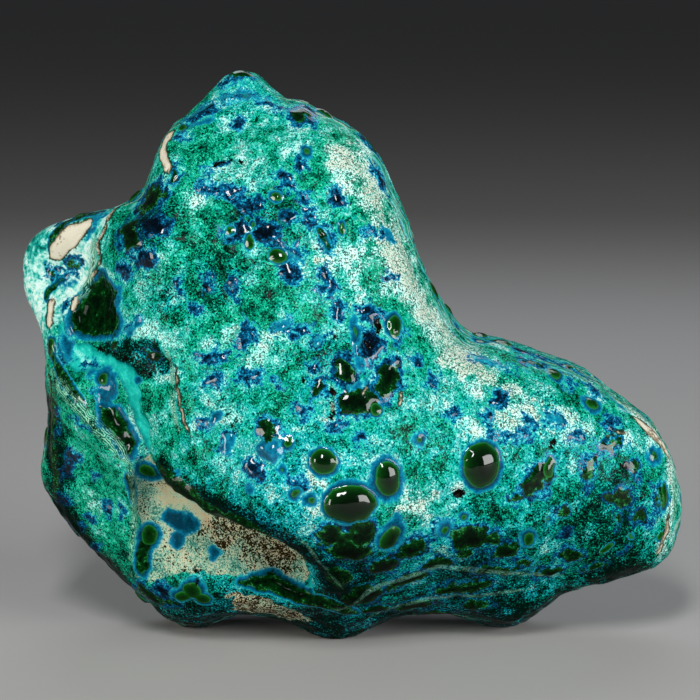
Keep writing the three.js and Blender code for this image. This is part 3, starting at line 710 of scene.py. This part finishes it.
def chrysocolla(finish, attributeNames):
    # chrysocolla with malachite and azurite, polished on felt: crisp grains under a wet gloss
    material = bpy.data.materials.new("polished_chrysocolla_and_malachite")
    material.use_nodes = True
    tree = material.node_tree
    tree.nodes.clear()
    fields = {}
    for name in attributeNames:
        fields[name] = addNode(tree, "ShaderNodeAttribute", attribute_name=name).outputs["Fac"]
    where = addNode(tree, "ShaderNodeTexCoord").outputs["Object"]
    swirlSize, swirlPush = finish["swirl"]
    swirl = addNode(tree, "ShaderNodeTexNoise", {
        "Vector": where, "Scale": 1 / (swirlSize * millimetre), "Detail": 2.0}).outputs["Color"]
    shifted = addNode(tree, "ShaderNodeVectorMath", {
        0: swirl, 1: (swirlPush * millimetre,) * 3, 2: where}, operation="MULTIPLY_ADD").outputs[0]
    for name, (size, detail, roughness, seed) in finish["noises"].items():
        speck = addNode(tree, "ShaderNodeTexNoise", {
            "Vector": shifted, "Scale": 1 / (size * millimetre), "Detail": detail, "Roughness": roughness,
            "W": seed}, noise_dimensions="4D").outputs["Fac"]
        fields[name] = addNode(tree, "ShaderNodeMath", {0: speck, 1: 0.5}, operation="SUBTRACT").outputs[0]

    def sumOf(start=0.0, **shares):
        # adds shares of the stone's noises and markings to a starting value
        total = start
        for name, share in shares.items():
            total = addNode(tree, "ShaderNodeMath", {0: fields[name], 1: share, 2: total},
                            operation="MULTIPLY_ADD").outputs[0]
        return total

    def colours(value, start, end, stops):
        # the ramp's colours, laid out from the start to the end of a value
        along = addNode(tree, "ShaderNodeMapRange", {"Value": value, "From Min": start, "From Max": end})
        return addNode(tree, "ShaderNodeValToRGB", {"Fac": along.outputs[0]}, stops=stops).outputs[0]

    def layOver(below, above, value, start, end, strength=1):
        # one finish over another: none of it where the value is at the start, its full strength at the end
        amount = addNode(tree, "ShaderNodeMapRange", {
            "Value": value, "From Min": start, "From Max": end, "To Max": strength}).outputs[0]
        mix = addNode(tree, "ShaderNodeMix", {"Factor": amount, 6: below, 7: above}, data_type="RGBA")
        return mix.outputs[2]

    # ground: every grain has its tone, and clumps of grains drift from black-green through teal to mint,
    # darker in the deep zone, which carries painted shade low down and under the brow
    tone = sumOf(0.55, clump=0.85, fleck=0.75, drift=0.95, pale=0.1, deep=-0.36, paleGrain=1.2)
    green = colours(tone, 0, 1, [
        (0.12, "#000a06"), (0.26, "#013226"), (0.37, "#03644c"), (0.49, "#048a6a"), (0.61, "#10aa84"),
        (0.74, "#3cbe9c"), (0.9, "#6cceb2")])
    blue = colours(tone, 0, 1, [
        (0.12, "#000a10"), (0.26, "#012e3e"), (0.37, "#035e70"), (0.49, "#048896"), (0.61, "#12aab2"),
        (0.74, "#40bec6"), (0.9, "#74ced4")])
    colour = layOver(green, blue, sumOf(aqua=1, clump=2.5, drift=3), 0, 1)

    # chalky clumps, where the chrysocolla has weathered pale and its grains crowd
    chalkiness = sumOf(drift=2.6, clump=1.4, fleck=1, pale=0.6, deep=-0.6)
    fields["crowding"] = addNode(tree, "ShaderNodeMapRange", {
        "Value": chalkiness, "From Min": 0.05, "From Max": 0.5}).outputs[0]
    chalky = colours(sumOf(0.5, darkGrain=-1.6, clump=0.8), 0, 1, [
        (0.3, "#0a5044"), (0.45, "#2c8070"), (0.6, "#569c8a"), (0.8, "#7cae9c")])
    colour = layOver(colour, chalky, fields["crowding"], 0, 1, 0.65)

    # crisp pale grains, cyan to mint and sandy where they crowd, then crisp dark grains
    paleHue = sumOf(0.1, crowding=0.45, clump=1.2, pale=0.3, aqua=0.3, deep=-0.4)
    paleColour = colours(paleHue, 0, 1, [
        (0.0, "#18a48e"), (0.2, "#5cd2c2"), (0.45, "#86e0d4"), (0.68, "#a8e4da"), (0.85, "#c2e2d6"),
        (1.0, "#c0ccba")])
    paleness = sumOf(paleGrain=1, drift=0.3, crowding=0.18, deep=-0.1)
    colour = layOver(colour, paleColour, paleness, 0.13, 0.17)
    darkness = sumOf(darkGrain=1, clump=-0.3, deep=0.16, crowding=0.025)
    colour = layOver(colour, fromHex("#01140e"), darkness, 0.09, 0.12)
    pepper = sumOf(darkGrain=1, fleck=0.4)
    colour = layOver(colour, fromHex("#3c5850"), pepper, 0.04, 0.08, sumOf(crowding=0.8))

    # layers cut across at the rim and behind: mint, cream, malachite and azurite lines
    depth = sumOf(layers=1 / finish["layer"], clump=0.5, fleck=0.25, drift=1.6)
    layer = addNode(tree, "ShaderNodeMath", {0: depth}, operation="FRACT").outputs[0]
    layerColour = colours(layer, 0, 1, [
        (0.0, "#0a8068"), (0.16, "#10a088"), (0.21, "#94ccb4"), (0.27, "#a0a88c"), (0.33, "#06483a"),
        (0.42, "#075838"), (0.48, "#0a6084"), (0.56, "#128498"), (0.64, "#60bcac"), (0.8, "#1c9c88"),
        (0.87, "#053c34"), (0.93, "#0a8068")])
    layerColour = layOver(layerColour, fromHex("#032018"), darkness, 0.13, 0.2)
    colour = layOver(colour, layerColour, sumOf(layered=1, fleck=0.6, clump=1.4), 0.35, 0.8, 0.85)

    # calm turquoise strips with no grains, palest along their middle, and paler still along the painted
    # highlight on the side lobe's strip
    calm = colours(sumOf(calm=0.7, clump=0.7, fleck=0.6, paleGrain=0.35), 0, 1, [
        (0.1, "#044c5a"), (0.3, "#067478"), (0.5, "#0c948a"), (0.7, "#18aea2"), (0.85, "#30c4b6"),
        (1.0, "#84dcd2")])
    colour = layOver(colour, calm, sumOf(calm=1, clump=1), 0.25, 0.5)

    # chalky mint on the side lobe
    chalk = colours(sumOf(0.56, drift=1, clump=0.6, fleck=0.9), 0, 1, [
        (0.32, "#044c44"), (0.42, "#088076"), (0.52, "#34b0a4"), (0.62, "#94d4ca"), (0.76, "#cce6de")])
    chalk = layOver(chalk, fromHex("#0c4038"), fields["darkGrain"], 0.12, 0.2)
    colour = layOver(colour, chalk, sumOf(chalk=1, clump=1), 0.3, 0.6)

    # sandy pocket, salt and pepper, with brown specks crowding at one end
    sand = colours(sumOf(0.44, drift=1, clump=1, paleGrain=1.2, umber=0.2, tan=0.3), 0, 1, [
        (0.2, "#2c7468"), (0.36, "#6ca08c"), (0.52, "#a8c0a4"), (0.68, "#bcb898"), (0.85, "#b8a886")])
    brownness = sumOf(darkGrain=1, clump=0.4, fleck=0.5, umber=0.14, tan=-0.2)
    sand = layOver(sand, fromHex("#221c08"), brownness, 0.07, 0.12)
    colour = layOver(colour, sand, sumOf(sand=1, fleck=0.8), 0.35, 0.6)

    # azurite, navy in the middle, its edge soft and flecked
    azureEdge = sumOf(azure=1, clump=3.2, fleck=3.4, paleGrain=2.2, deep=1)
    outward = addNode(tree, "ShaderNodeMapRange", {
        "Value": azureEdge, "From Min": -2.4, "From Max": 1.0}).outputs[0]
    azurite = colours(sumOf(outward, darkGrain=-1.3, fleck=0.9, sand=0.1, deep=-0.3), 0, 1, [
        (0.0, "#010810"), (0.35, "#021a2c"), (0.55, "#043856"), (0.74, "#075c84"), (0.88, "#1086a4"),
        (1.0, "#38b0b4")])
    colour = layOver(colour, azurite, azureEdge, 0.9, 0.4)

    # rings round the malachite: navy, then blue, then a cyan rim that fades into the ground
    halo = sumOf(halo=1, clump=1.2, fleck=1)
    ring = colours(sumOf(halo, paleGrain=0.5, fleck=0.6, darkGrain=-0.5), 0, 1.3, [
        (0.0, "#03384c"), (0.25, "#044c66"), (0.5, "#086686"), (0.7, "#0c829c"), (0.85, "#22a4ac"),
        (1.0, "#4cc4c0")])
    colour = layOver(colour, ring, halo, 1.3, 0.8)

    # malachite patches with irregular edges, dark green with black clouds in it
    mossEdge = sumOf(moss=1, clump=2.4, fleck=1.8, paleGrain=0.5)
    outward = addNode(tree, "ShaderNodeMapRange", {
        "Value": mossEdge, "From Min": -3.2, "From Max": 0.3}).outputs[0]
    moss = colours(sumOf(outward, fleck=0.9, clump=0.8, paleGrain=0.5), 0, 1, [
        (0.05, "#010802"), (0.4, "#011205"), (0.62, "#022008"), (0.82, "#04300c"), (0.94, "#0e5420"),
        (1.0, "#2c8048")])
    moss = layOver(moss, fromHex("#010803"), sumOf(darkGrain=1, clump=0.5, deep=0.1), 0.12, 0.2)
    colour = layOver(colour, moss, mossEdge, 0.12, -0.1)

    # malachite eyes with their bright green rim
    eyeEdge = sumOf(eye=1, clump=0.7, fleck=0.3, paleGrain=0.1)
    eye = colours(eyeEdge, -3, 0.2, [
        (0.0, "#020e03"), (0.4, "#021a05"), (0.66, "#042a07"), (0.84, "#083e0c"), (0.93, "#1a6c28"),
        (1.0, "#48a058")])
    colour = layOver(colour, eye, eyeEdge, 0.12, -0.08)

    # cream on the crests of the folds, then a dark line, a mint line and a dark one again; the same cream
    # paints the reflection streak on the tower's left flank and a highlight along the thin vein at x -36
    veinAndHighlightEdge = sumOf(cream=1, clump=0.7, fleck=0.4, paleGrain=0.3)
    veinAndHighlight = colours(veinAndHighlightEdge, -0.6, 0.6, [
        (0.1, "#ccc8b6"), (0.36, "#b8b29c"), (0.5, "#6c6a54"), (0.62, "#142418"), (0.8, "#06342a"),
        (1.0, "#045c4c")])
    veinAndHighlight = layOver(veinAndHighlight, fromHex("#786c58"), sumOf(drift=1, fleck=1), 0.1, 0.2)
    colour = layOver(colour, veinAndHighlight, sumOf(veinAndHighlightEdge, fleck=0.8), 0.5, 0.2)

    # fine threads side by side, each a pale line between dark ones, fainter where the stone is dark
    across = sumOf(thread=1, clump=0.9, fleck=0.6)
    width = 0.15
    thread = addNode(tree, "ShaderNodeMath", {0: across, 1: width}, operation="PINGPONG").outputs[0]
    threads = colours(thread, 0, width, [
        (0.0, "#b4dcc4"), (0.35, "#5cb498"), (0.65, "#0a5c4a"), (1.0, "#023024")])
    strongest = addNode(tree, "ShaderNodeMath", {
        0: sumOf(0.9, deep=-0.6), 1: 0.25}, operation="MAXIMUM").outputs[0]
    fading = addNode(tree, "ShaderNodeMapRange", {
        "Value": fields["thread"], "From Min": 1.3, "From Max": 0.5, "To Max": strongest}).outputs[0]
    colour = layOver(colour, threads, sumOf(fleck=1, paleGrain=0.8, clump=1.6), -0.25, 0.05, fading)

    # open pits and gaps, near black: partly their own dark fill, partly painted shade in the hollows
    pitEdge = sumOf(pit=1, clump=1.2, fleck=1.2, paleGrain=1)
    colour = layOver(colour, fromHex("#080603"), pitEdge, 0.2, -0.1)

    # eyes and beads take a mirror polish, patches and blots less of one, the grainy ground next to none
    blotEdge = addNode(tree, "ShaderNodeMath", {0: azureEdge, 1: 0.6}, operation="ADD").outputs[0]
    hard = eyeEdge
    for edge, least in [(fields["bead"], -1.0), (mossEdge, 0.4), (blotEdge, 0.25)]:
        limited = addNode(tree, "ShaderNodeMath", {0: edge, 1: least}, operation="MAXIMUM").outputs[0]
        hard = addNode(tree, "ShaderNodeMath", {0: hard, 1: limited}, operation="MINIMUM").outputs[0]
    polished = addNode(tree, "ShaderNodeMapRange", {
        "Value": hard, "From Min": 0.1, "From Max": 0.6, "To Min": 1.0,
        "To Max": finish["groundShine"]}).outputs[0]
    gloss = addNode(tree, "ShaderNodeMath", {
        0: polished, 1: fields["shine"]}, operation="MULTIPLY").outputs[0]
    grainy = addNode(tree, "ShaderNodeMapRange", {
        "Value": hard, "From Min": 0.6, "From Max": 1.4}).outputs[0]
    relief = addNode(tree, "ShaderNodeBump", {
        "Strength": grainy, "Distance": finish["relief"] * millimetre,
        "Height": sumOf(paleGrain=1, fleck=1.5, darkGrain=-1)})
    shader = addNode(tree, "ShaderNodeBsdfPrincipled", {
        "Base Color": colour, "Roughness": finish["roughness"], "IOR": finish["ior"],
        "Specular IOR Level": finish["specular"], "Coat Weight": gloss, "Coat Roughness": finish["polish"],
        "Coat IOR": finish["coatIor"], "Normal": relief.outputs[0]})
    addNode(tree, "ShaderNodeOutputMaterial", {"Surface": shader.outputs[0]})
    return material


stone.data.materials.clear()
stone.data.materials.append(chrysocolla(stoneFinish, attributeNames))
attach(stone, "root")
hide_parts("stone")
print("stone finished")

studio = {
    "floorColour": "#a8a7a5",
    "floorReach": 40000,
    "floorRoughness": 0.8,
    "worldColour": "#c9ccd2",
    "worldStrength": 0.07,
    # name, place, width, height, watts, colour
    "lights": [
        ("window", (1216, -832, 384), 928, 640, 23.6, "#ffffff"),
        ("strip", (-60, -560, 560), 90, 260, 3.2, "#ffffff"),
        ("fill", (-640, -480, 180), 260, 300, 4.0, "#fffaf2"),
        ("back", (60, 520, 560), 600, 300, 1.4, "#eef4ff"),
    ],
}


def layFloor(setup):
    reach = setup["floorReach"] * millimetre
    mesh = bpy.data.meshes.new("floor")
    corners = [(-reach, -reach, 0), (reach, -reach, 0), (reach, reach, 0), (-reach, reach, 0)]
    mesh.from_pydata(corners, [], [(0, 1, 2, 3)])
    floor = bpy.data.objects.new("floor", mesh)
    bpy.context.scene.collection.objects.link(floor)
    # matt wall paint, so that the floor shows no reflection of the stone
    paint = bpy.data.materials.new("matt_painted_floor")
    paint.use_nodes = True
    shader = paint.node_tree.nodes["Principled BSDF"]
    shader.inputs["Base Color"].default_value = fromHex(setup["floorColour"])
    shader.inputs["Roughness"].default_value = setup["floorRoughness"]
    mesh.materials.append(paint)


def lightStudio(setup):
    world = bpy.data.worlds.new("studio")
    world.use_nodes = True
    sky = world.node_tree.nodes["Background"]
    sky.inputs["Color"].default_value = fromHex(setup["worldColour"])
    sky.inputs["Strength"].default_value = setup["worldStrength"]
    bpy.context.scene.world = world
    middle = Vector((0, 0, height / 2))
    for name, place, width, tall, watts, colour in setup["lights"]:
        data = bpy.data.lights.new(name, "AREA")
        data.shape = "RECTANGLE"
        data.size = width * millimetre
        data.size_y = tall * millimetre
        data.energy = watts
        data.color = fromHex(colour)[:3]
        light = bpy.data.objects.new(name, data)
        light.location = Vector(place) * millimetre
        light.rotation_euler = (middle - light.location).to_track_quat("-Z", "Y").to_euler()
        bpy.context.scene.collection.objects.link(light)
    bpy.context.scene.view_settings.view_transform = "Standard"


layFloor(studio)
lightStudio(studio)
print("studio lit")
